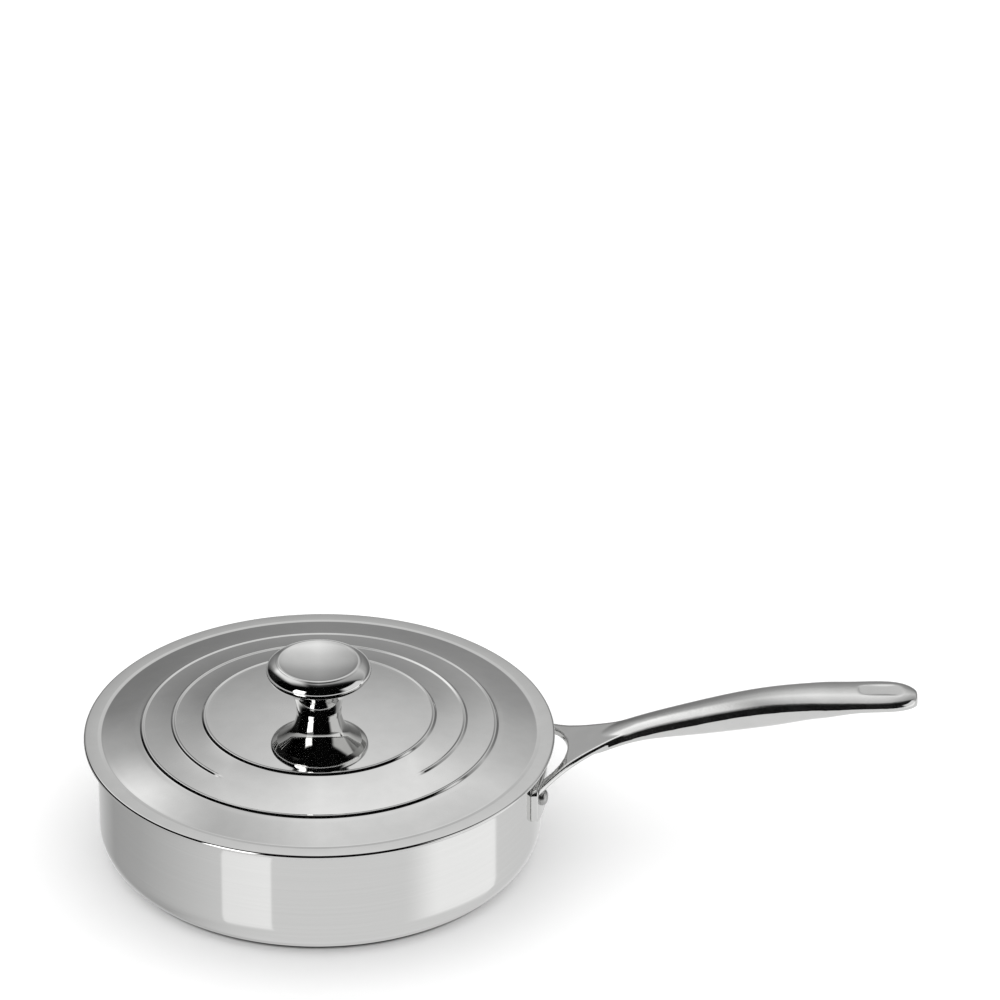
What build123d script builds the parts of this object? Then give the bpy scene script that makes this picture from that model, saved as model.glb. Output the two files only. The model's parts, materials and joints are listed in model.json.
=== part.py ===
# Saute pan with a lift-off lid, in millimetres.
#
# Frame: the origin is the centre of the flat underside of the pan, +Z is up,
# and the long handle points along +X.
#
# The pan is a three-ply pressed vessel with a cast hollow handle. The fork at the
# handle's root stands on a curved foot plate, which two solid rivets hold on the
# wall. The lid is one pressed sheet with stepped rings and a rolled edge. It
# carries a hollow mushroom knob, held from below by a screw. All of it is
# stainless steel, apart from the aluminium core of the vessel.

from build123d import *
from math import asin, cos, degrees, radians, sin, sqrt
import os

os.makedirs("parts", exist_ok=True)

# Vessel
pan_radius = 121.0
pan_height = 68.85
base_corner_radius = 18.0
outer_ply = 0.6
core_ply = 1.5
inner_ply = 0.5
lip_radius = 4.0
lip_angle = 65.0

# Foot plate and rivets
foot_plate_thickness = 3.5
foot_half_width = 40.0
foot_bottom = 33.5
foot_top = 54.0
foot_corner_radius = 3.5
rivet_spread = 30.0
rivet_height = 44.7
rivet_radius = 2.4
rivet_head_radius = 4.5
rivet_head_height = 3.2
inner_head_radius = 4.8
inner_head_height = 1.4
rivet_rim_share = 0.25

# Fork at the root of the handle
fork_edge_half_width = 39.0
fork_length = 37.5
fork_waist_share = 0.53
fork_waist_half_width = 20.0
palm_half_width = 11.6
palm_top = 67.0
palm_thickness = 3.0
palm_taper = 17.0
palm_end_half_width = 8.0
fork_end_thickness = 4.2
fork_edge_radius = 1.3
fork_edge_angle = 48.0
window_radius = 35.0
window_reach = 10.9

# Hollow grip
grip_length = 170.8
grip_half_width = 14.7
grip_crown = 5.3
grip_belly = 13.2
grip_height = 88.3
grip_seat_drop = 0.9
grip_wall = 1.8
tip_length = 21.6
vent_radius = 1.5
vent_along_share = 0.290
vent_drop_share = 0.478
recess_length = 25.0
recess_width = 11.0
recess_depth = 0.7
recess_end_gap = 8.0
recess_corner_radius = 3.0
recess_nose_length = 7.0

# Stations along the grip: distance from the palm, half width, crown above and
# belly below the widest line, and how far that line lies below the grip's height
grip_station_shares = [
    (-0.050, 0.80, 0.60, 0.25, 1.243),
    (0.040, 0.755, 0.78, 0.33, 1.005),
    (0.143, 0.741, 0.94, 0.46, 0.757),
    (0.290, 0.81, 1.02, 0.78, 0.478),
    (0.450, 0.878, 1.04, 1.00, 0.212),
    (0.559, 0.93, 1.04, 0.97, 0.099),
    (0.664, 0.97, 0.98, 0.79, 0.036),
    (0.769, 0.985, 0.91, 0.56, 0.016),
]
tip_start_shares = (0.8734, 0.98, 0.84, 0.45, 0.004)
tip_angles = (0, 28, 50, 67, 80)
tip_flatness_share = 0.45
tip_droop_share = 0.09

# Lid sheet: heights of rings are rises above the top of its edge
lid_sheet = 0.9
lid_overhang = 7.5
lid_edge_bead = 1.3
lid_rest_gap = 0.08
ridge_setback = 6.3
ridge_rise = 0.25
valley_setback = 2.1
valley_depth = 0.1
slope_setback = 9.8
slope_rise = 2.55
ring_b_setback = 11.8
ring_b_rise = 4.85
ring_pitch = 16.9
ring_d_rise = 10.95
ring_step_height = 0.9
ring_step_width = 1.5
ring_ridge_width = 1.4
ring_ridge_height = 0.4
ring_c_height = 0.6
ring_bend_radius = 0.8
ring_gap_angle = 88.0
crown_rise = 14.65
seat_radius = 13.0

# Knob: heights are above the collar that it stands on
collar_radius = 12.2
collar_height = 1.6
knob_radius = 28.6
knob_rim_height = 24.5
knob_ridge_height = 29.1
knob_ridge_radius = 22.0
knob_dish = 1.9
knob_neck_radius = 11.9
knob_neck_height = 8.5
knob_neck_swell = 0.8
knob_flare_radius = 18.6
knob_flare_height = 14.8
knob_flare_slope_share = 0.7
knob_seam_radius = 24.6
knob_seam_height = 19.1
knob_wall = 1.6
boss_radius = 5.5
boss_height = 13.0
boss_flange = 2.0
screw_radius = 2.5
screw_length = 15.0
screw_head_radius = 4.6
screw_head_height = 2.6
screw_slot_width = 1.2
screw_slot_depth = 1.1
screw_clearance = 0.2
washer_radius = 7.5
washer_thickness = 1.2

# One length that carries every cut clear of the solid that it cuts
overrun = 5.0

# Sizes that follow from the values above
wall = outer_ply + core_ply + inner_ply
flare_height = pan_height - (lip_radius + wall) * sin(radians(lip_angle))
foot_radius = pan_radius + foot_plate_thickness
fork_root_x = sqrt(foot_radius**2 - fork_edge_half_width**2)
palm_x = fork_root_x + fork_length
tip_x = palm_x + grip_length
grip_drop = grip_height - palm_top + grip_seat_drop
rim_radius = pan_radius + lip_radius - (lip_radius + wall) * cos(radians(lip_angle))
lid_radius = pan_radius + lid_overhang
bead_centre = lid_radius - lid_edge_bead
ridge_radius = bead_centre - ridge_setback
valley_radius = ridge_radius - valley_setback
slope_radius = valley_radius - slope_setback
ring_b_radius = slope_radius - ring_b_setback
ring_c_radius = ring_b_radius - ring_pitch
ring_d_radius = ring_c_radius - ring_pitch
rise_over_rim = ridge_rise * (bead_centre - rim_radius) / (bead_centre - ridge_radius)
edge_top = pan_height + lid_rest_gap + lid_sheet - rise_over_rim
bead_height = edge_top - lid_edge_bead
seat_height = edge_top + crown_rise
knob_base = seat_height + collar_height


def turned(edges, angle=360.0, start=0.0):
    """Turn a closed outline in radius and height about the vertical axis."""
    face = Plane.XZ * make_face(edges)
    return Rot(0, 0, start) * revolve(face, Axis.Z, angle)


def ring_solid(outer, inner, bottom, top):
    """A flat ring about the vertical axis, between two heights."""
    corners = [(inner, bottom), (outer, bottom), (outer, top), (inner, top)]
    return turned(Polyline(*corners, close=True))


def rod(radius, bottom, top):
    """A round rod on the vertical axis, between two heights."""
    on_foot = (Align.CENTER, Align.CENTER, Align.MIN)
    return Pos(0, 0, bottom) * Cylinder(radius, top - bottom, align=on_foot)


def rivet_planes():
    """Planes on the wall's axis, each looking out along one rivet."""
    angle = asin(rivet_spread / foot_radius)
    return [
        Plane(origin=(0, 0, rivet_height), z_dir=(cos(side * angle), sin(side * angle), 0))
        for side in (-1, 1)
    ]


def rivet_holes():
    """Rods that cut the rivet holes through the wall and the foot plate."""
    front, back = rivet_planes()
    hole = rod(rivet_radius, 0, foot_radius + overrun)
    return front * hole + back * hole


def vessel_line(depth):
    """One face of the vessel, a given depth inside the outer one, from axis to lip."""
    corner_x = pan_radius - base_corner_radius
    corner = base_corner_radius - depth
    flare_x = pan_radius + lip_radius
    flare = lip_radius + depth
    slant = radians(45)
    half = radians(lip_angle / 2)
    full = radians(lip_angle)
    axis = (0, depth)
    corner_start = (corner_x, depth)
    corner_middle = (corner_x + corner * cos(slant), base_corner_radius - corner * sin(slant))
    corner_end = (pan_radius - depth, base_corner_radius)
    flare_start = (pan_radius - depth, flare_height)
    flare_middle = (flare_x - flare * cos(half), flare_height + flare * sin(half))
    flare_end = (flare_x - flare * cos(full), flare_height + flare * sin(full))
    edges = [
        Line(axis, corner_start),
        ThreePointArc(corner_start, corner_middle, corner_end),
        Line(corner_end, flare_start),
        ThreePointArc(flare_start, flare_middle, flare_end),
    ]
    return edges, axis, flare_end


def vessel_ply(outer_depth, inner_depth):
    """One ply of the pressed vessel, pierced for the rivets."""
    outer, outer_axis, outer_lip = vessel_line(outer_depth)
    inner, inner_axis, inner_lip = vessel_line(inner_depth)
    closing = [Line(outer_axis, inner_axis), Line(outer_lip, inner_lip)]
    return turned(outer + inner + closing) - rivet_holes()


def foot_plate():
    """The curved plate that the fork stands on, riveted to the wall."""
    height = foot_top - foot_bottom
    sleeve = ring_solid(foot_radius, pan_radius, foot_bottom, foot_top)
    outline = RectangleRounded(2 * foot_half_width, height, foot_corner_radius)
    middle = Plane(origin=(0, 0, foot_bottom + height / 2), x_dir=(0, 1, 0), z_dir=(1, 0, 0))
    block = extrude(middle * outline, foot_radius + overrun)
    return (sleeve & block) - rivet_holes()


def rivet():
    """One rivet on the vertical axis, standing on the plane of its outer seat."""
    sag = inner_head_radius**2 / (2 * (pan_radius - wall))
    inner_seat = -(foot_plate_thickness + wall + sag)
    outer_rim = (rivet_head_radius, rivet_head_height * rivet_rim_share)
    inner_rim = (inner_head_radius, inner_seat - inner_head_height * rivet_rim_share)
    outer_crown = (0, rivet_head_height)
    inner_crown = (0, inner_seat - inner_head_height)
    edges = [
        TangentArc(outer_crown, outer_rim, tangent=(1, 0)),
        Polyline(
            outer_rim,
            (rivet_head_radius, 0),
            (rivet_radius, 0),
            (rivet_radius, inner_seat),
            (inner_head_radius, inner_seat),
            inner_rim,
        ),
        TangentArc(inner_crown, inner_rim, tangent=(1, 0)),
        Line(inner_crown, outer_crown),
    ]
    return turned(edges)


def rivets():
    """Two solid rivets, headed outside on the foot plate and inside on the wall."""
    one = Pos(0, 0, foot_radius) * rivet()
    return Compound(children=[(plane * one).solid() for plane in rivet_planes()])


def fork():
    """The forked root: a flat palm that splits into two arms round a window."""
    edge = (fork_root_x, fork_edge_half_width)
    waist = (fork_root_x + fork_waist_share * fork_length, fork_waist_half_width)
    palm = (palm_x, palm_half_width)
    end = (palm_x + palm_taper, palm_end_half_width)
    slant = radians(fork_edge_angle)
    side = Spline(edge, waist, palm, end, tangents=[(cos(slant), -sin(slant)), (1, 0)])
    far_end = Line(end, (end[0], -end[1]))
    root = Line(edge, (edge[0], -edge[1]))
    outline = make_face([side, mirror(side, Plane.XZ), far_end, root])
    rise = (palm_top - foot_top) / fork_length
    end_top = palm_top + rise * palm_taper
    top = [(fork_root_x, foot_top), (end[0], end_top)]
    bottom = [(end[0], end_top - palm_thickness), (fork_root_x, foot_top - fork_end_thickness)]
    sheet = Plane.XZ * make_face(Polyline(*top, *bottom, close=True))
    band = extrude(sheet, fork_edge_half_width, both=True)
    slab = extrude(outline, end_top) & band
    long_edges = slab.edges().filter_by(GeomType.BSPLINE)
    slab = fillet(long_edges, fork_edge_radius)
    window_x = foot_radius + window_reach - window_radius
    window = Pos(window_x, 0, 0) * rod(window_radius, 0, end_top + overrun)
    vessel_room = rod(foot_radius, 0, end_top + overrun)
    return slab - window - vessel_room


def grip_section(along, width, crown, belly, drop, inset):
    """One cross-section of the grip: two half ellipses that meet at its widest line."""
    plane = Plane(
        origin=(palm_x + along * grip_length, 0, grip_height - drop * grip_drop),
        x_dir=(0, 1, 0),
        z_dir=(1, 0, 0),
    )
    half_width = width * grip_half_width - inset
    upper = EllipticalCenterArc((0, 0), half_width, crown * grip_crown - inset, 0, arc_size=180)
    lower = EllipticalCenterArc((0, 0), half_width, belly * grip_belly - inset, 180, arc_size=180)
    return plane * make_face([upper, lower])


def tip_stations():
    """Stations that round the free end off in plan and thin it a little."""
    along, width, crown, belly, drop = tip_start_shares
    stations = []
    for angle in tip_angles:
        reach = sin(radians(angle)) * tip_length / grip_length
        narrow = cos(radians(angle))
        thin = tip_flatness_share + (1 - tip_flatness_share) * narrow
        droop = drop + tip_droop_share * (1 - narrow)
        stations.append((along + reach, width * narrow, crown * thin, belly * thin, droop))
    return stations


def recess():
    """The shallow blind recess on top of the free end, pointed towards the pan."""
    half = recess_width / 2
    end = recess_length / 2
    radius = recess_corner_radius
    nose = recess_nose_length - end
    corners = [(end - radius, half), (end - radius, -half), (end, radius - half), (end, half - radius)]
    edges = [
        Spline((nose, half), (-end, 0), (nose, -half), tangents=[(-1, 0), (1, 0)]),
        Line((nose, -half), corners[1]),
        RadiusArc(corners[1], corners[2], -radius),
        Line(corners[2], corners[3]),
        RadiusArc(corners[3], corners[0], -radius),
        Line(corners[0], (nose, half)),
    ]
    along, _, crown, _, drop = tip_start_shares
    top = grip_height - drop * grip_drop + crown * grip_crown
    tilt = degrees(asin(grip_crown * (1 - crown) / recess_length))
    place = Pos(tip_x - recess_end_gap - recess_length / 2, 0, top - recess_depth) * Rot(0, tilt, 0)
    return extrude(place * make_face(edges), overrun)


def handle():
    """The cast handle: fork, hollow grip, vent hole and recess in one piece."""
    stations = grip_station_shares + tip_stations()
    outside = loft([grip_section(*station, 0) for station in stations])
    hollow = loft([grip_section(*station, grip_wall) for station in grip_station_shares[1:]])
    vent_top = grip_height - vent_drop_share * grip_drop
    vent_x = palm_x + vent_along_share * grip_length
    vent = Pos(vent_x, 0, 0) * rod(vent_radius, vent_top - 2 * grip_belly, vent_top)
    return fork() + outside - hollow - vent - recess()


def stepped_ring(radius, rise, lowered):
    """A ring where the sheet steps down: its upper edge stands up as a small ridge."""
    half = ring_step_width / 2
    foot = edge_top + rise - lowered
    upper = foot + ring_step_height
    return [
        (radius - half - ring_ridge_width, upper),
        (radius - half, upper + ring_ridge_height),
        (radius + half, foot),
    ]


def ridged_ring(radius, start, end):
    """A ring that is only a ridge, on the straight slope from one point to another."""
    half = ring_step_width / 2
    slope = (end[1] - start[1]) / (end[0] - start[0])
    inner = radius - half - ring_ridge_width
    crest = radius - half
    outer = radius + half
    return [
        (inner, start[1] + slope * (inner - start[0])),
        (crest, start[1] + slope * (crest - start[0]) + ring_c_height),
        (outer, start[1] + slope * (outer - start[0])),
    ]


def lid_line(lowered, with_ring_c):
    """The lid's profile from its flat seat out to the last bend before the edge."""
    points = stepped_ring(ring_d_radius, ring_d_rise, lowered)
    ring_b = stepped_ring(ring_b_radius, ring_b_rise, lowered)
    if with_ring_c:
        points += ridged_ring(ring_c_radius, points[-1], ring_b[0])
    points += ring_b
    points.append((slope_radius, edge_top + slope_rise - lowered))
    points.append((valley_radius, edge_top + ridge_rise - valley_depth - lowered))
    points.append((ridge_radius, edge_top + ridge_rise - lowered))
    return points


def lid_sector(angle, start, with_ring_c):
    """A sector of the pressed lid sheet, with its rolled edge."""
    top = lid_line(0, with_ring_c)
    under = lid_line(lid_sheet, with_ring_c)
    under_rise = lid_edge_bead - lid_sheet
    bead_top = (bead_centre, edge_top)
    bead_side = (lid_radius, bead_height)
    bead_bottom = (bead_centre, bead_height - lid_edge_bead)
    bead_inside = (bead_centre - lid_edge_bead, bead_height)
    bead_join = (bead_centre - sqrt(lid_edge_bead**2 - under_rise**2), edge_top - lid_sheet)
    edges = [
        Line((0, seat_height), (seat_radius, seat_height)),
        TangentArc((seat_radius, seat_height), top[0], tangent=(1, 0)),
        FilletPolyline(*top, bead_top, radius=ring_bend_radius),
        ThreePointArc(bead_top, bead_side, bead_bottom),
        ThreePointArc(bead_bottom, bead_inside, bead_join),
        FilletPolyline(*under, bead_join, radius=ring_bend_radius),
        TangentArc((seat_radius, seat_height - lid_sheet), under[0], tangent=(1, 0)),
        Line((0, seat_height - lid_sheet), (seat_radius, seat_height - lid_sheet)),
        Line((0, seat_height), (0, seat_height - lid_sheet)),
    ]
    return turned(edges, angle, start)


def lid_shell():
    """The lid sheet, with its middle ring left out over one sector in front."""
    plain = lid_sector(ring_gap_angle, -90 - ring_gap_angle / 2, False)
    ringed = lid_sector(360 - ring_gap_angle, -90 + ring_gap_angle / 2, True)
    hole = rod(screw_radius + screw_clearance, seat_height - lid_sheet - overrun, seat_height + overrun)
    return plain + ringed - hole


def knob_collar():
    """The ring between the lid and the neck of the knob."""
    return ring_solid(collar_radius, screw_radius + screw_clearance, seat_height, knob_base)


def stem_line(inset):
    """The outside of the flared stem, or its inside a wall further in."""
    foot = (knob_neck_radius - inset, knob_base)
    neck = (knob_neck_radius + knob_neck_swell - inset, knob_base + knob_neck_height)
    flare = (knob_flare_radius - inset / 2, knob_base + knob_flare_height + inset)
    seam = (knob_seam_radius, knob_base + knob_seam_height + inset)
    edge = Spline(foot, neck, flare, seam, tangents=[(0, 1), (1, knob_flare_slope_share)])
    return edge, foot, seam


def knob_stem():
    """The lower shell of the knob: a short neck that flares out to the rim."""
    outer, outer_foot, outer_seam = stem_line(0)
    inner, inner_foot, inner_seam = stem_line(knob_wall)
    return turned([outer, inner, Line(outer_foot, inner_foot), Line(outer_seam, inner_seam)])


def cap_line(inset):
    """The outside of the knob's cap from its axis to the seam, or its inside."""
    centre = (0, knob_base + knob_ridge_height - knob_dish - inset)
    ridge = (knob_ridge_radius, knob_base + knob_ridge_height - inset)
    rim = (knob_radius - inset, knob_base + knob_rim_height)
    seam = (knob_seam_radius, knob_base + knob_seam_height + inset)
    dish = TangentArc(centre, ridge, tangent=(1, 0))
    edge = Spline(ridge, rim, seam, tangents=[(0.85, -0.5), (-0.8, -0.6)])
    return [dish, edge], centre, seam


def knob_cap():
    """The upper shell of the knob: a dished top and a rounded rim."""
    outer, outer_centre, outer_seam = cap_line(0)
    inner, inner_centre, inner_seam = cap_line(knob_wall)
    return turned(outer + inner + [Line(outer_centre, inner_centre), Line(outer_seam, inner_seam)])


def knob_boss():
    """The tapped bush inside the stem, with a flange that closes the stem's foot."""
    flange = ring_solid(knob_neck_radius - knob_wall, screw_radius, knob_base, knob_base + boss_flange)
    bush = rod(boss_radius, knob_base, knob_base + boss_height)
    thread = rod(screw_radius, screw_seat(), screw_seat() + screw_length + screw_clearance)
    return flange + bush - thread


def screw_seat():
    """Height of the face that the screw's head bears on."""
    return seat_height - lid_sheet - washer_thickness


def knob_screw():
    """The slotted screw that holds the knob from inside the lid."""
    shank = rod(screw_radius, screw_seat(), screw_seat() + screw_length)
    head = rod(screw_head_radius, screw_seat() - screw_head_height, screw_seat())
    slot = Pos(0, 0, screw_seat() - screw_head_height) * Box(
        2 * screw_head_radius + overrun, screw_slot_width, 2 * screw_slot_depth
    )
    return head + shank - slot


def knob_washer():
    """The washer between the screw's head and the inside of the lid."""
    return ring_solid(washer_radius, screw_radius + screw_clearance, screw_seat(), seat_height - lid_sheet)


nodes = {
    "pan_outer_ply": vessel_ply(0, outer_ply),
    "pan_core_ply": vessel_ply(outer_ply, outer_ply + core_ply),
    "pan_inner_ply": vessel_ply(outer_ply + core_ply, wall),
    "handle_foot_plate": foot_plate(),
    "handle_casting": handle(),
    "handle_rivets": rivets(),
    "lid_shell": lid_shell(),
    "knob_collar": knob_collar(),
    "knob_stem": knob_stem(),
    "knob_cap": knob_cap(),
    "knob_boss": knob_boss(),
    "knob_screw": knob_screw(),
    "knob_washer": knob_washer(),
}

for name, shape in nodes.items():
    export_step(shape, "parts/" + name + ".step")
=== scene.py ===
import bpy
import json
from math import asin, atan2, cos, degrees, hypot, pi, radians, sin, sqrt, tan
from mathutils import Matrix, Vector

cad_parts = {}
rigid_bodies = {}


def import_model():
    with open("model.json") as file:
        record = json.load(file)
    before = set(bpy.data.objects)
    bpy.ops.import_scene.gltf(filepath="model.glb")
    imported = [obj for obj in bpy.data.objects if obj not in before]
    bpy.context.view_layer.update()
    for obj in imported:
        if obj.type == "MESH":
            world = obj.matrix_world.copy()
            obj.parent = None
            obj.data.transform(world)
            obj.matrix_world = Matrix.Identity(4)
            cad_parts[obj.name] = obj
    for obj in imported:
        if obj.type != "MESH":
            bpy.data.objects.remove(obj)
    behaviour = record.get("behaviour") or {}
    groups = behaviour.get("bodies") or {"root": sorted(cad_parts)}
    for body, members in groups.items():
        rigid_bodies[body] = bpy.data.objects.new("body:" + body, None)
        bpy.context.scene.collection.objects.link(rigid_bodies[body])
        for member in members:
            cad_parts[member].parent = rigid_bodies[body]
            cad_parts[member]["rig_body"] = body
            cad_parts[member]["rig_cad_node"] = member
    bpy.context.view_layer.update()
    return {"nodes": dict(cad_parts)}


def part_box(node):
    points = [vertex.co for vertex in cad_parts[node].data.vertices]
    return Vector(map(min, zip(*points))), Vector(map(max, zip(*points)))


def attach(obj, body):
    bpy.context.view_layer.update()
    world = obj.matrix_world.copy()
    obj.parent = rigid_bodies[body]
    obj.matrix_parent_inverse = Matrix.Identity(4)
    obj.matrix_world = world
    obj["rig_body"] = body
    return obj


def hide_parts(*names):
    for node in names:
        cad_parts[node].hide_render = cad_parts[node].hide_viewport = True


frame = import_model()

# Camera: a long lens, as product shots use, looking down on the pan with the
# handle to the right. Place and turn were fitted to the photograph's ellipses.
camera_place = (0.0, -4.2059, 2.6063)
camera_pitch = 29.6246
camera_yaw = 1.3423
camera_lens = 324.0
camera_reach = 100
camera_turn = (radians(90 - camera_pitch), 0, -radians(camera_yaw))
bpy.ops.object.select_all(action="DESELECT")
bpy.ops.object.camera_add(location=camera_place, rotation=camera_turn)
camera = bpy.context.object
camera.data.lens = camera_lens
camera.data.clip_end = camera_reach
bpy.context.scene.camera = camera
bpy.context.scene.view_settings.view_transform = "Standard"

# Studio: a grey sweep behind the pan, brightest halfway up and black from overhead on, a
# strip light to either side of the camera, a weak panel high on the left and a black screen
# beyond it, over a white table. Polished steel mirrors it, and the rest sees white air.
sweep_stops = [
    (0.00, "060606"), (0.018, "060606"), (0.026, "FFFFFF"), (0.40, "FFFFFF"), (0.46, "D8D8D8"),
    (0.492, "8E8E8E"), (0.518, "939393"), (0.545, "A2A2A2"), (0.565, "B2B2B2"), (0.586, "D2D2D2"),
    (0.608, "E4E4E4"), (0.629, "FFFFFF"), (0.653, "ECECEC"), (0.678, "DCDCDC"), (0.710, "CCCCCC"),
    (0.735, "404040"), (0.765, "060606"), (1.00, "060606"),
]
table_stops = [
    (0.00, "F8F8F8"), (0.04, "D0D0D0"), (0.12, "A8A8A8"), (0.20, "B4B4B4"), (0.34, "D8D8D8"),
    (0.43, "E1E1E1"), (0.78, "E1E1E1"), (0.90, "D8D8D8"), (0.96, "E4E4E4"), (1.00, "F8F8F8"),
]
side_stops = [
    (0.00, "181818"), (0.18, "242424"), (0.27, "D8D8D8"), (0.345, "E4E4E4"), (0.385, "C8C8C8"),
    (0.42, "D4D4D4"), (0.455, "E8E8E8"), (0.50, "FFFFFF"), (0.545, "F8F8F8"), (0.58, "F4F4F4"),
    (0.62, "E4E4E4"), (0.70, "D0D0D0"), (1.00, "B8B8B8"),
]
strips = [
    {"from": -55.0, "to": -31.0, "edges": (2.0, 7.0), "over": 3.0, "under": 0.0},
    {"from": -53.0, "to": -26.0, "edges": (1.5, 1.5), "over": 0.0, "under": 0.26},
    {"from": 54.0, "to": 104.0, "edges": (16.0, 8.0), "over": 0.8, "under": 0.0},
    {"from": 54.0, "to": 104.0, "edges": (24.0, 3.0), "over": 0.0, "under": 0.28},
]
strip_bottom = (-0.70, -0.54)
strip_top = (0.58, 0.66)
dark_curve = 0.22
horizon = -0.02
table_below = "E1E1E1"
table_steepness = (-0.97, -0.80)
panel_side = (-0.62, -0.46, -0.29, -0.15)
panel_over = (34.0, 48.0, 80.0, 100.0)
panel_strength = 0.42
open_air = (1.22, 1.22, 1.22, 1.0)


def node(tree, kind, inputs=None, **settings):
    """Adds one shader node, gives it its settings, and fills or links its sockets."""
    made = tree.nodes.new(kind)
    for name, value in settings.items():
        setattr(made, name, value)
    for name, value in (inputs or {}).items():
        if isinstance(value, bpy.types.NodeSocket):
            tree.links.new(value, made.inputs[name])
        else:
            made.inputs[name].default_value = value
    return made


def linear(colour):
    """Turns an sRGB hex colour into the linear values that a shader wants."""
    channels = [int(colour[i : i + 2], 16) / 255 for i in (0, 2, 4)]
    return [c / 12.92 if c <= 0.04045 else ((c + 0.055) / 1.055) ** 2.4 for c in channels] + [1.0]


def fill_ramp(ramp, stops):
    """Gives a colour ramp its stops: a place from 0 to 1 and an sRGB hex colour each."""
    elements = ramp.color_ramp.elements
    while len(elements) > 1:
        elements.remove(elements[-1])
    for index, (place, colour) in enumerate(stops):
        element = elements[0] if index == 0 else elements.new(place)
        element.position = place
        element.color = linear(colour)


studio = bpy.data.worlds.new("studio")
bpy.context.scene.world = studio
studio.use_nodes = True
sky = studio.node_tree
sky.nodes.clear()

# The sweep's tones run over the pan from behind it to the camera. At the sides the black
# end reaches further back.
where = node(sky, "ShaderNodeTexCoord")
axes = node(sky, "ShaderNodeSeparateXYZ", {0: where.outputs["Generated"]})
sideways = node(sky, "ShaderNodeMath", {0: axes.outputs["X"]}, operation="ABSOLUTE")
dark_bend = node(sky, "ShaderNodeMath", {0: sideways.outputs[0], 1: -dark_curve}, operation="MULTIPLY")
ahead_bent = node(sky, "ShaderNodeMath", {0: axes.outputs["Y"], 1: dark_bend.outputs[0]})
over = node(sky, "ShaderNodeMath", {0: axes.outputs["Z"], 1: ahead_bent.outputs[0]}, operation="ARCTAN2")
over_share = node(sky, "ShaderNodeMapRange", {0: over.outputs[0], 1: -pi, 2: pi})
sweep = node(sky, "ShaderNodeValToRGB", {0: over_share.outputs[0]})
fill_ramp(sweep, sweep_stops)

# From left to right the room has its own tones, and below the horizon the table has some
# that change with the direction round the pan, except straight down.
side_share = node(sky, "ShaderNodeMapRange", {0: axes.outputs["X"], 1: -1.0, 2: 1.0})
side = node(sky, "ShaderNodeValToRGB", {0: side_share.outputs[0]})
fill_ramp(side, side_stops)
ahead = node(sky, "ShaderNodeMath", {0: axes.outputs["Y"], 1: -1.0}, operation="MULTIPLY")
round_angle = node(sky, "ShaderNodeMath", {0: axes.outputs["X"], 1: ahead.outputs[0]}, operation="ARCTAN2")
round_share = node(sky, "ShaderNodeMapRange", {0: round_angle.outputs[0], 1: -pi, 2: pi})
tabletop = node(sky, "ShaderNodeValToRGB", {0: round_share.outputs[0]})
fill_ramp(tabletop, table_stops)
steep = node(sky, "ShaderNodeMapRange", {0: axes.outputs["Z"], 1: table_steepness[0], 2: table_steepness[1]})
tabletop = node(
    sky,
    "ShaderNodeMix",
    {0: steep.outputs[0], 6: linear(table_below), 7: tabletop.outputs[0]},
    data_type="RGBA",
)
above = node(sky, "ShaderNodeMath", {0: axes.outputs["Z"], 1: horizon}, operation="GREATER_THAN")
side_on = node(
    sky,
    "ShaderNodeMix",
    {0: above.outputs[0], 6: tabletop.outputs[2], 7: side.outputs[0]},
    data_type="RGBA",
)
room = node(
    sky,
    "ShaderNodeMix",
    {0: 1.0, 6: sweep.outputs[0], 7: side_on.outputs[2]},
    data_type="RGBA",
    blend_type="MULTIPLY",
)


def band(value, rise, fall):
    """One where a value lies between a rise and a fall, each given as two ends, zero outside."""
    soft = {"interpolation_type": "SMOOTHSTEP"}
    up = node(sky, "ShaderNodeMapRange", {0: value, 1: rise[0], 2: rise[1]}, **soft)
    down = node(sky, "ShaderNodeMapRange", {0: value, 1: fall[1], 2: fall[0]}, **soft)
    both = node(sky, "ShaderNodeMath", {0: up.outputs[0], 1: down.outputs[0]}, operation="MULTIPLY")
    return both.outputs[0]


# Each strip has one strength above the horizon and one below it, where the table dims it.
lights = []
for strip in strips:
    low, high = strip["from"], strip["to"]
    low_edge, high_edge = strip["edges"]
    rise = (radians(low - low_edge / 2), radians(low + low_edge / 2))
    fall = (radians(high - high_edge / 2), radians(high + high_edge / 2))
    level = node(
        sky,
        "ShaderNodeMapRange",
        {0: axes.outputs["Z"], 1: horizon, 2: 0.0, 3: strip["under"], 4: strip["over"]},
    )
    across = band(round_angle.outputs[0], rise, fall)
    light = node(sky, "ShaderNodeMath", {0: across, 1: level.outputs[0]}, operation="MULTIPLY")
    lights.append(light.outputs[0])
all_strips = lights[0]
for light in lights[1:]:
    all_strips = node(sky, "ShaderNodeMath", {0: all_strips, 1: light}).outputs[0]
upright = band(axes.outputs["Z"], strip_bottom, strip_top)
strip_light = node(sky, "ShaderNodeMath", {0: all_strips, 1: upright}, operation="MULTIPLY")

panel_angles = [radians(angle) for angle in panel_over]
panel_band = band(over.outputs[0], panel_angles[:2], panel_angles[2:])
panel_across = band(axes.outputs["X"], panel_side[:2], panel_side[2:])
panel = node(sky, "ShaderNodeMath", {0: panel_band, 1: panel_across}, operation="MULTIPLY")
panel = node(sky, "ShaderNodeMath", {0: panel.outputs[0], 1: panel_strength}, operation="MULTIPLY")
all_lights = node(sky, "ShaderNodeMath", {0: strip_light.outputs[0], 1: panel.outputs[0]})

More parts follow.
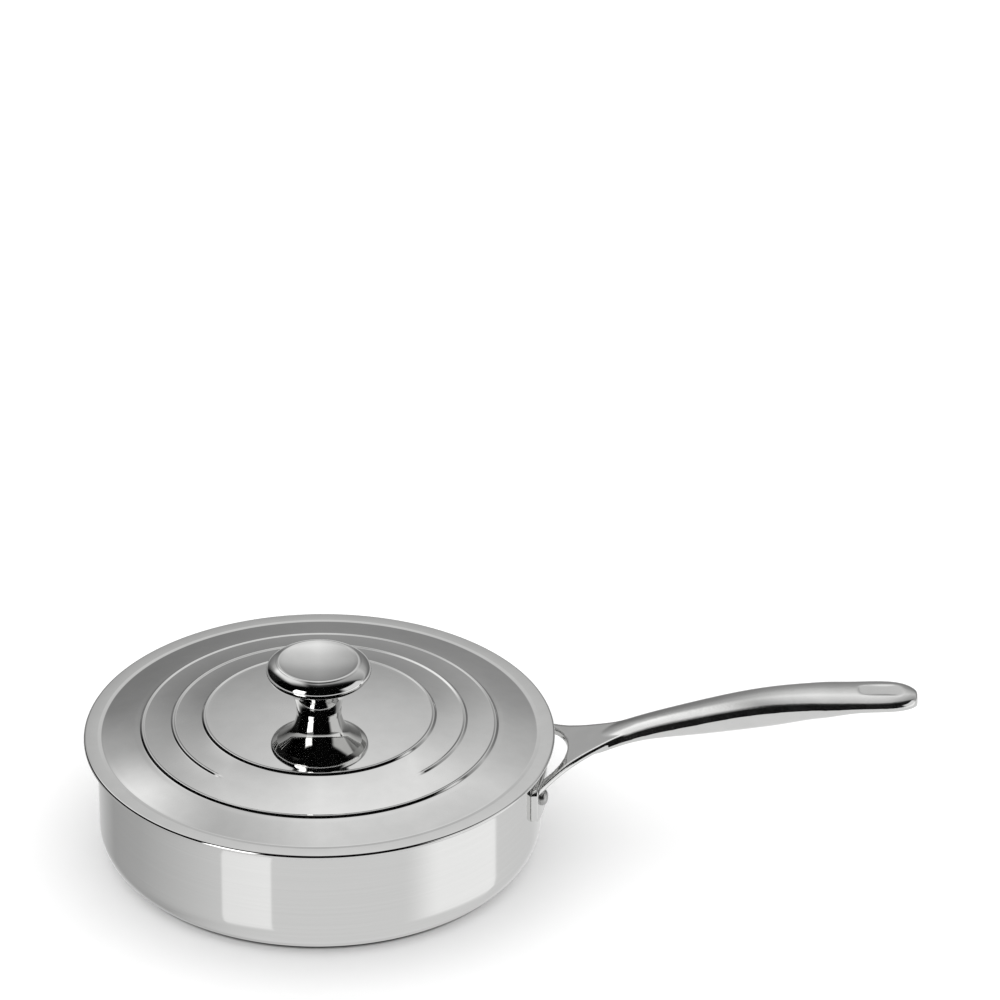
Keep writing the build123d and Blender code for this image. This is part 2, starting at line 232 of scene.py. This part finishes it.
seen = node(
    sky,
    "ShaderNodeMix",
    {0: 1.0, 6: room.outputs[2], 7: all_lights.outputs[0]},
    data_type="RGBA",
    blend_type="ADD",
)
ray = node(sky, "ShaderNodeLightPath")
glow = node(
    sky,
    "ShaderNodeMix",
    {0: ray.outputs["Is Glossy Ray"], 6: open_air, 7: seen.outputs[2]},
    data_type="RGBA",
)
back = node(sky, "ShaderNodeBackground", {0: glow.outputs[2], 1: 1.0})
node(sky, "ShaderNodeOutputWorld", {0: back.outputs[0]})

# Table: a broad white sheet that takes the soft shadow. Its colour is painted dark under the base,
# a painted shadow that leaves a thin line at the foot. Polished metal looks through it to the room's
# own white table, so it is clear to such rays, but for a painted shade round the foot.
table_size = 30.0
# Painted shade round the foot, seen only in reflections of the table.
contact_shade = (0.104, 0.117)
painted_shade_tone = 0.3
# Painted shadow under the base, in the sheet's own colour.
painted_shadow_edge = (0.1090, 0.1112)
painted_shadow_tone = 0.12
bpy.ops.object.select_all(action="DESELECT")
bpy.ops.mesh.primitive_plane_add(size=table_size, location=(0, 0, 0))
table = bpy.context.object
table.name = "table"
paper = bpy.data.materials.new("white table sheet")
paper.use_nodes = True
sheet = paper.node_tree
sheet.nodes.clear()
spot = node(sheet, "ShaderNodeTexCoord")
level_spot = node(sheet, "ShaderNodeVectorMath", {0: spot.outputs["Object"]}, operation="LENGTH")
# Painted shadow: the sheet's colour goes dark inside the foot's radius.
painted_foot_shadow = node(
    sheet,
    "ShaderNodeMapRange",
    {0: level_spot.outputs["Value"], 1: painted_shadow_edge[0], 2: painted_shadow_edge[1], 3: painted_shadow_tone, 4: 1.0},
)
matt = node(sheet, "ShaderNodeBsdfDiffuse", {0: painted_foot_shadow.outputs[0]})
# Painted shade: where metal reflects the table near the foot, the table's tint is darkened.
painted_reflection_shade = node(
    sheet,
    "ShaderNodeMapRange",
    {0: level_spot.outputs["Value"], 1: contact_shade[0], 2: contact_shade[1], 3: painted_shade_tone, 4: 1.0},
)
clear = node(sheet, "ShaderNodeBsdfTransparent", {0: painted_reflection_shade.outputs[0]})
path = node(sheet, "ShaderNodeLightPath")
blend = node(
    sheet,
    "ShaderNodeMixShader",
    {0: path.outputs["Is Glossy Ray"], 1: matt.outputs[0], 2: clear.outputs[0]},
)
node(sheet, "ShaderNodeOutputMaterial", {0: blend.outputs[0]})
table.data.materials.append(paper)

# Vessel, outer ply: 18/10 stainless sheet pressed to a straight-sided pan with a
# rounded foot and a flared lip. It is polished and then turned against a fine
# felt, which leaves hair lines round the axis that stretch reflections upwards.
mm = 0.001
pan_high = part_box("pan_outer_ply")[1]
wall_radius = 121.0
foot_bend = 18.0
outer_ply = 0.6
lip_bend = 4.0
lip_turn = 65.0
around_steps = 256
foot_steps = 16
lip_steps = 8
smooth_angle = 40


def arc(centre, radius, start, end, count):
    """Points on an arc in radius and height, from one angle to another in degrees."""
    angles = [radians(start + (end - start) * i / count) for i in range(count + 1)]
    return [(centre[0] + radius * cos(a), centre[1] + radius * sin(a)) for a in angles]


def turned(name, outline, steps=around_steps):
    """Draws a closed outline by extruding one point along it, then spins it round the axis."""
    bpy.ops.object.select_all(action="DESELECT")
    bpy.ops.mesh.primitive_plane_add(size=mm, location=(0, 0, 0))
    made = bpy.context.object
    made.name = name
    made.data.name = name
    bpy.ops.object.mode_set(mode="EDIT")
    bpy.ops.mesh.select_all(action="SELECT")
    bpy.ops.mesh.merge(type="CENTER")
    here = (0.0, 0.0)
    for index, (radius, height) in enumerate(outline):
        move = ((radius - here[0]) * mm, 0, (height - here[1]) * mm)
        if index == 0:
            bpy.ops.transform.translate(value=move)
        else:
            bpy.ops.mesh.extrude_vertices_move(TRANSFORM_OT_translate={"value": move})
        here = (radius, height)
    bpy.ops.mesh.select_all(action="SELECT")
    bpy.ops.mesh.edge_face_add()
    bpy.ops.mesh.delete(type="ONLY_FACE")
    bpy.ops.mesh.select_all(action="SELECT")
    bpy.ops.mesh.spin(steps=steps, angle=2 * pi, center=(0, 0, 0), axis=(0, 0, 1))
    bpy.ops.mesh.select_all(action="SELECT")
    bpy.ops.mesh.remove_doubles(threshold=mm / 100)
    bpy.ops.mesh.normals_make_consistent(inside=False)
    bpy.ops.object.mode_set(mode="OBJECT")
    bpy.ops.object.shade_smooth_by_angle(angle=radians(smooth_angle))
    return made


def ply_line(depth):
    """One face of the outer ply, a given depth inside the vessel's, from axis to lip."""
    flare_start = pan_high.z / mm - (lip_bend + outer_ply) * sin(radians(lip_turn))
    corner = (wall_radius - foot_bend, foot_bend)
    line = [(0, depth), (corner[0] / 2, depth), (corner[0] - foot_bend / 4, depth)]
    line += arc(corner, foot_bend - depth, -90, 0, foot_steps)
    line += [(wall_radius - depth, foot_bend * 1.2), (wall_radius - depth, flare_start - foot_bend / 5)]
    lip_middle = (wall_radius + lip_bend, flare_start)
    return line + arc(lip_middle, lip_bend + depth, 180, 180 - lip_turn, lip_steps)


vessel = turned("pan_outer_ply_turned", ply_line(0) + ply_line(outer_ply)[::-1])
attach(vessel, "pan")
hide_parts("pan_outer_ply")


def finish_of(name, objects):
    """A new material with an empty tree, worn by the objects, and its coordinates."""
    made = bpy.data.materials.new(name)
    made.use_nodes = True
    tree = made.node_tree
    tree.nodes.clear()
    for piece in objects:
        piece.data.materials.clear()
        piece.data.materials.append(made)
    return tree, node(tree, "ShaderNodeTexCoord").outputs["Object"]


# Satin stainless: hair lines 0.3 mm apart run round the axis. Real ones are finer,
# but would not show. Across them the steel is rough, along them nearly a mirror.
grain_range = (0.3, 0.7)
hair_detail = 3.0
hair_spread = 0.15
hair_relief = 0.02
hair_depth = mm / 10
hair_stretch = 0.8
hair_turn = 0.25


def turned_satin(name, objects, tint, roughness, hair_spacing=0.3):
    """Steel with hair lines round the axis, in two close tints and about one roughness."""
    tree, place = finish_of(name, objects)
    parts = node(tree, "ShaderNodeSeparateXYZ", {0: place})
    flat = node(tree, "ShaderNodeCombineXYZ", {0: parts.outputs[0], 1: parts.outputs[1]})
    out = node(tree, "ShaderNodeVectorMath", {0: flat.outputs[0]}, operation="LENGTH")
    turn = node(tree, "ShaderNodeMath", {0: parts.outputs[1], 1: parts.outputs[0]}, operation="ARCTAN2")
    turn = node(tree, "ShaderNodeMath", {0: turn.outputs[0], 1: hair_spacing * mm}, operation="MULTIPLY")
    unrolled = node(
        tree, "ShaderNodeCombineXYZ", {0: out.outputs["Value"], 1: parts.outputs[2], 2: turn.outputs[0]}
    )
    hairs = node(
        tree,
        "ShaderNodeTexNoise",
        {"Vector": unrolled.outputs[0], "Scale": 1 / (hair_spacing * mm), "Detail": hair_detail},
    )
    smoothest, roughest = roughness * (1 - hair_spread), roughness * (1 + hair_spread)
    dull = node(
        tree,
        "ShaderNodeMapRange",
        {0: hairs.outputs[0], 1: grain_range[0], 2: grain_range[1], 3: smoothest, 4: roughest},
    )
    shade = node(tree, "ShaderNodeValToRGB", {0: hairs.outputs[0]})
    fill_ramp(shade, zip(grain_range, tint))
    relief = node(
        tree, "ShaderNodeBump", {"Height": hairs.outputs[0], "Strength": hair_relief, "Distance": hair_depth}
    )
    grain = node(tree, "ShaderNodeTangent", direction_type="RADIAL", axis="Z")
    steel = node(
        tree,
        "ShaderNodeBsdfPrincipled",
        {
            "Base Color": shade.outputs[0],
            "Metallic": 1.0,
            "Roughness": dull.outputs[0],
            "Anisotropic": hair_stretch,
            "Anisotropic Rotation": hair_turn,
            "Normal": relief.outputs[0],
            "Tangent": grain.outputs[0],
        },
    )
    node(tree, "ShaderNodeOutputMaterial", {0: steel.outputs[0]})


turned_satin("turned satin stainless", [vessel], ("E0E0DF", "E5E5E4"), 0.07)

# Vessel, inside: the steel cooking face has the same turned finish, a little
# duller. The rolled aluminium core shows only as a thin ring at the lip.
turned_satin("turned stainless cooking face", [frame["nodes"]["pan_inner_ply"]], ("D2D2D1", "D8D8D7"), 0.2)
turned_satin("rolled aluminium core", [frame["nodes"]["pan_core_ply"]], ("C2C3C4", "CBCCCD"), 0.35)

# Lid: one stainless sheet, pressed into a shallow dome with three rings and a
# shallow bend near its edge, which is rolled into a bead. The middle ring stops
# short in front. It lies loose on the lip, so it rides on its own body.
lid_low, lid_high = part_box("lid_shell")
lid_sheet = 0.9
bead_radius = 1.3
bead_angles = (80, -180)
bead_steps = 20
bead_tuck = 1.235
bead_middle = lid_high.x / mm - bead_radius
edge_height = lid_low.z / mm + 2 * bead_radius
skirt_points = [(99.6, 4.53), (105.6, 3.27), (111.6, 1.83), (117.4, 0.45)]
edge_points = [(118.8, 0.10), (120.9, 0.20)]
edge_bend = 2.0
step_width = 1.2
step_height = 0.9
step_bend = 0.8
ridge_width = 1.4
ridge_height = 0.4
ring_feet = {"inner": (63.4, 10.95), "outer": (97.2, 4.85)}
middle_ring_radius = 80.3
middle_ring_height = 0.8
ring_break = 44.0
ring_fade = 2.6
crown_height = lid_high.z / mm
crown_power = 1.9
crown_steps = 24
screw_hole = 2.7


def curve(a, b, c, d, count=10):
    """Points on a cubic curve from a to d, drawn towards b and c on the way."""
    shares = [i / count for i in range(count + 1)]
    weights = [((1 - t) ** 3, 3 * t * (1 - t) ** 2, 3 * t * t * (1 - t), t**3) for t in shares]
    return [tuple(sum(w * p[k] for w, p in zip(row, (a, b, c, d))) for k in (0, 1)) for row in weights]


def turn_between(start, end):
    """The shorter way round from one angle to another, in radians."""
    return (end - start + pi) % (2 * pi) - pi


def rounded(points, radius, count=5):
    """A bent line with each corner between its ends rounded off by an arc."""
    line = [points[0]]
    for before, corner, after in zip(points, points[1:], points[2:]):
        a = atan2(before[1] - corner[1], before[0] - corner[0])
        b = atan2(after[1] - corner[1], after[0] - corner[0])
        half = abs(turn_between(a, b)) / 2
        set_back = radius / tan(half)
        middle = a + turn_between(a, b) / 2
        centre_away = radius / sin(half)
        centre = (corner[0] + centre_away * cos(middle), corner[1] + centre_away * sin(middle))
        start, end = [
            atan2(corner[1] + set_back * sin(leg) - centre[1], corner[0] + set_back * cos(leg) - centre[0])
            for leg in (a, b)
        ]
        line += arc(centre, radius, degrees(start), degrees(start + turn_between(start, end)), count)
    return line + [points[-1]]


def ring_step(name):
    """The corners of one stepped ring, whose upper edge stands up as a small ridge."""
    radius, rise = ring_feet[name]
    lower = edge_height + rise
    upper = lower + step_height
    crest = radius - step_width / 2
    return [(crest - ridge_width, upper), (crest, upper + ridge_height), (radius + step_width / 2, lower)]


def slope_height(radius):
    """Height of the straight slope between the inner and the outer ring."""
    (r0, z0), (r1, z1) = ring_step("inner")[-1], ring_step("outer")[0]
    return z0 + (z1 - z0) * (radius - r0) / (r1 - r0)


def middle_ring():
    """The corners of the middle ring, which is only a ridge on that slope."""
    crest = middle_ring_radius - step_width / 2
    inner, outer = crest - ridge_width, middle_ring_radius + step_width / 2
    return [
        (inner, slope_height(inner)),
        (crest, slope_height(crest) + middle_ring_height),
        (outer, slope_height(outer)),
    ]


def lid_line(drop):
    """The lid's upper face from its hole to the bead, or the same face lower down."""
    inner = ring_step("inner")[0]
    fall = crown_height - inner[1]
    radii = [screw_hole + (inner[0] - screw_hole) * i / crown_steps for i in range(crown_steps)]
    crown = [(r, crown_height - fall * (r / inner[0]) ** crown_power) for r in radii]
    skirt = curve(*[(r, edge_height + rise) for r, rise in skirt_points])
    corners = ring_step("inner") + middle_ring() + ring_step("outer")
    rings = rounded([crown[-1]] + corners + [skirt[0]], step_bend)
    edge_bends = [(r, edge_height + rise) for r, rise in edge_points]
    edge = rounded([skirt[-1]] + edge_bends + [(bead_middle, edge_height)], edge_bend)
    return [(r, z - drop) for r, z in crown + rings[1:] + skirt[1:-1] + edge]


under = lid_line(lid_sheet)
under[-1] = (bead_middle - bead_tuck, edge_height - lid_sheet)
bead = arc((bead_middle, edge_height - bead_radius), bead_radius, *bead_angles, bead_steps)
lid = turned("lid_sheet_pressed", lid_line(0) + bead + under[::-1])

# The middle ring is lowered to the plain slope in front, and fades out over a
# few millimetres at either end.
break_from, break_to = ring_step("inner")[-1][0] + step_bend, ring_step("outer")[0][0] - step_bend
for vertex in lid.data.vertices:
    radius = hypot(vertex.co.x, vertex.co.y) / mm
    if break_from < radius < break_to:
        from_front = abs(degrees(atan2(vertex.co.x, -vertex.co.y)))
        share = min(max((ring_break + ring_fade / 2 - from_front) / ring_fade, 0.0), 1.0)
        share = share * share * (3 - 2 * share)
        upper_face = vertex.normal.z > 0
        plain = slope_height(radius) - (0 if upper_face else lid_sheet)
        vertex.co.z += share * (plain * mm - vertex.co.z)
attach(lid, "lid")
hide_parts("lid_shell")

# Polished stainless: buffed with compound until it mirrors, which leaves faint
# cloudy patches in the gloss and stray wiping marks far finer than the eye sees.
cloud_size = 9.0
wipe_width = 0.25
wipe_stretch = (1.0, 0.08, 1.0)
wipe_share = 0.4
mark_detail = 2.0
wipe_relief = 0.01
wipe_depth = mm / 20


def buffed_steel(name, objects, tint, gloss):
    """Polished steel in two close tints, between a least and a greatest roughness."""
    tree, place = finish_of(name, objects)
    clouds = node(
        tree, "ShaderNodeTexNoise", {"Vector": place, "Scale": 1 / (cloud_size * mm), "Detail": mark_detail}
    )
    stretched = node(tree, "ShaderNodeMapping", {0: place, 3: wipe_stretch})
    wipes = node(
        tree,
        "ShaderNodeTexNoise",
        {"Vector": stretched.outputs[0], "Scale": 1 / (wipe_width * mm), "Detail": mark_detail},
    )
    both = node(tree, "ShaderNodeMix", {0: wipe_share, 2: clouds.outputs[0], 3: wipes.outputs[0]})
    dull = node(
        tree,
        "ShaderNodeMapRange",
        {0: both.outputs[0], 1: grain_range[0], 2: grain_range[1], 3: gloss[0], 4: gloss[1]},
    )
    shade = node(tree, "ShaderNodeValToRGB", {0: clouds.outputs[0]})
    fill_ramp(shade, zip(grain_range, tint))
    relief = node(
        tree, "ShaderNodeBump", {"Height": wipes.outputs[0], "Strength": wipe_relief, "Distance": wipe_depth}
    )
    steel = node(
        tree,
        "ShaderNodeBsdfPrincipled",
        {
            "Base Color": shade.outputs[0],
            "Metallic": 1.0,
            "Roughness": dull.outputs[0],
            "Normal": relief.outputs[0],
        },
    )
    node(tree, "ShaderNodeOutputMaterial", {0: steel.outputs[0]})


buffed_steel("mirror polished stainless sheet", [lid], ("E2E2E1", "E6E6E5"), (0.02, 0.05))

# Knob: two pressed stainless shells joined under the rim, with a dished top and a
# neck that flares out. A plain ring stands between its foot and the lid.
collar_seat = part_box("knob_collar")[0].z / mm
collar_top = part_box("knob_collar")[1].z / mm
collar_radius = 12.25
collar_edge = 0.15
collar_sink = 0.2
knob_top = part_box("knob_cap")[1].z / mm
joint = (24.5, knob_top - 10.2)

# Each point is a radius and a drop, on the cap below its top and on the stem below
# the joint.
dish_points = [(0.0, 1.9), (22.0 / 3, 1.9), (44.0 / 3, 1.292), (21.1, 0.2)]
ridge_points = [(21.7, 0.02), (22.5, 0.0), (23.3, 0.55)]
shoulder_points = [(25.1, 1.25), (27.2, 2.4), (28.1, 4.0)]
rim_points = [(28.7, 5.1), (28.8, 6.1), (28.4, 7.1)]
heel_points = [(28.2, 7.7), (28.0, 8.35), (27.3, 8.72)]
heel_steps = 6
cap_inside = [(24.5, 8.6), (26.04, 7.4), (26.68, 4.8), (22.0, 2.24), (0.0, 3.5)]
flare_points = [(22.0, 1.9), (19.4, 4.2), (17.3, 6.5)]
throat_points = [(15.0, 9.0), (13.4, 12.5)]
throat_steps = 16
neck_radius = 12.0
neck_bore = 10.4
stem_inside = [(neck_bore, 12.5), (13.8, 5.8), (18.0, 2.0), (24.5, -1.44)]


def below(height, points):
    """Points given as a radius and a drop, set below a height."""
    return [(radius, height - drop) for radius, drop in points]


cap_line = curve(*below(knob_top, dish_points))
for points in (ridge_points, shoulder_points, rim_points):
    cap_line += curve(cap_line[-1], *below(knob_top, points))[1:]
cap_line += curve(cap_line[-1], *below(knob_top, heel_points), heel_steps)[1:]
cap = turned("knob_cap_pressed", cap_line + [joint] + below(knob_top, cap_inside))
stem_line = curve(joint, *below(joint[1], flare_points))
stem_line += curve(
    stem_line[-1], *below(joint[1], throat_points), (neck_radius, collar_top), throat_steps
)[1:]
stem = turned(
    "knob_stem_pressed", stem_line + [(neck_bore, collar_top)] + below(joint[1], stem_inside)
)
collar = turned(
    "knob_collar_turned",
    [
        (screw_hole, collar_top),
        (collar_radius - collar_edge, collar_top),
        (collar_radius, collar_top - collar_edge),
        (collar_radius, collar_seat - collar_sink),
        (screw_hole, collar_seat - collar_sink),
    ],
)
for piece, node_name in ((cap, "knob_cap"), (stem, "knob_stem"), (collar, "knob_collar")):
    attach(piece, "lid")
    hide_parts(node_name)
buffed_steel("mirror polished stainless knob", [cap, stem, collar], ("E2E2E1", "E6E6E5"), (0.02, 0.04))

# Knob fixing: a tapped steel bush in the stem, a slotted steel screw from inside
# the lid and a washer under its head. They keep the finish of the lathe, whose fine
# rings leave them dull.
fixings = [frame["nodes"][name] for name in ("knob_boss", "knob_screw", "knob_washer")]
turned_satin("lathe turned stainless", fixings, ("B4B4B3", "C2C2C1"), 0.3, hair_spacing=0.15)

# Handle: an investment casting with a forked root, a flat palm and a hollow grip that
# swells underneath and ends in a blunt tip. It is ground and buffed, which rounds every
# edge over and leaves a softer gloss than the lid's.
handle_grain = 0.54
handle_rounds = 8
wear_strength = 0.5
tip_length = 21.6
tip_bluntness = 2.3
tip_last_share = 0.97


def buffed_copy(node_name, name, grain, rounds):
    """A closed copy of a cast piece, re-skinned finely and worn smooth at its edges."""
    bpy.ops.object.select_all(action="DESELECT")
    source = frame["nodes"][node_name]
    source.select_set(True)
    bpy.context.view_layer.objects.active = source
    bpy.ops.object.duplicate()
    made = bpy.context.object
    made.parent = None
    made.name = name
    made.data.name = name
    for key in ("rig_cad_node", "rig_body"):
        if key in made:
            del made[key]
    bpy.ops.object.mode_set(mode="EDIT")
    bpy.ops.mesh.select_all(action="SELECT")
    bpy.ops.mesh.remove_doubles(threshold=mm / 1000)
    bpy.ops.object.mode_set(mode="OBJECT")
    skin = made.modifiers.new("skin", "REMESH")
    skin.mode = "VOXEL"
    skin.voxel_size = grain * mm
    skin.use_smooth_shade = True
    bpy.ops.object.modifier_apply(modifier="skin")
    wear = made.modifiers.new("wear", "SMOOTH")
    wear.factor = wear_strength
    wear.iterations = rounds
    bpy.ops.object.modifier_apply(modifier="wear")
    return made


handle = buffed_copy("handle_casting", "handle_buffed_casting", handle_grain, handle_rounds)
tip_end = max((vertex.co for vertex in handle.data.vertices), key=lambda co: co.x)
tip_middle = (tip_end.y, tip_end.z)
tip_start = tip_end.x - tip_length * mm
for vertex in handle.data.vertices:
    share = (vertex.co.x - tip_start) / (tip_length * mm)
    if share > 0:
        share = min(share, tip_last_share)
        fuller = (1 - share**tip_bluntness) ** (1 / tip_bluntness) / sqrt(1 - share**2)
        vertex.co.y = tip_middle[0] + (vertex.co.y - tip_middle[0]) * fuller
        vertex.co.z = tip_middle[1] + (vertex.co.z - tip_middle[1]) * fuller
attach(handle, "pan")
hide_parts("handle_casting")

# Foot plate: a stainless plate bent to the wall, on which the fork of the handle
# stands. The rivets hold it, and it is buffed together with the handle.
plate_grain = 0.35
plate_rounds = 12
plate = buffed_copy("handle_foot_plate", "handle_foot_plate_buffed", plate_grain, plate_rounds)
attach(plate, "pan")
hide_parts("handle_foot_plate")
buffed_steel("buffed stainless casting", [handle, plate], ("E3E3E2", "E7E7E6"), (0.07, 0.12))

# Rivets: two solid stainless rivets, set hot, so that their outer heads are high
# domes and the inner ones are low and flat. The heads are wiped, not buffed, so they
# look dull beside the handle.
rivet_shank = 2.4
rivet_head = 4.5
rivet_inner_head = 4.8
outer_dome = [(0, 3.2), (2.2, 3.2), (rivet_head, 2.3), (rivet_head, 0.4)]
inner_dome = [(rivet_inner_head, 0.4), (rivet_inner_head, 1.1), (2.6, 1.4), (0, 1.4)]
rivet_sink = 0.05
rivet_steps = 48
rivet_spread = 30.0
rivet_height = 44.7
plate_face = 124.5
wall_thickness = 2.6
wall_clearance = 0.1
rivet_reach = plate_face - wall_radius + wall_thickness + wall_clearance
rivet_line = (
    curve(*outer_dome)
    + [(rivet_head, -rivet_sink), (rivet_shank, -rivet_sink)]
    + [(rivet_shank, -rivet_reach), (rivet_inner_head, -rivet_reach)]
    + curve(*below(-rivet_reach, inner_dome))
)
rivets = []
for side_of, where_is in ((-1, "front"), (1, "back")):
    rivet = turned("handle_rivet_" + where_is, rivet_line, rivet_steps)
    angle = side_of * asin(rivet_spread / plate_face)
    rivet.rotation_euler = (0, pi / 2, angle)
    rivet.location = (plate_face * cos(angle) * mm, plate_face * sin(angle) * mm, rivet_height * mm)
    bpy.ops.object.transform_apply(location=True, rotation=True, scale=True)
    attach(rivet, "pan")
    rivets.append(rivet)
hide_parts("handle_rivets")
buffed_steel("wiped stainless rivets", rivets, ("B4B4B3", "BEBEBD"), (0.24, 0.32))
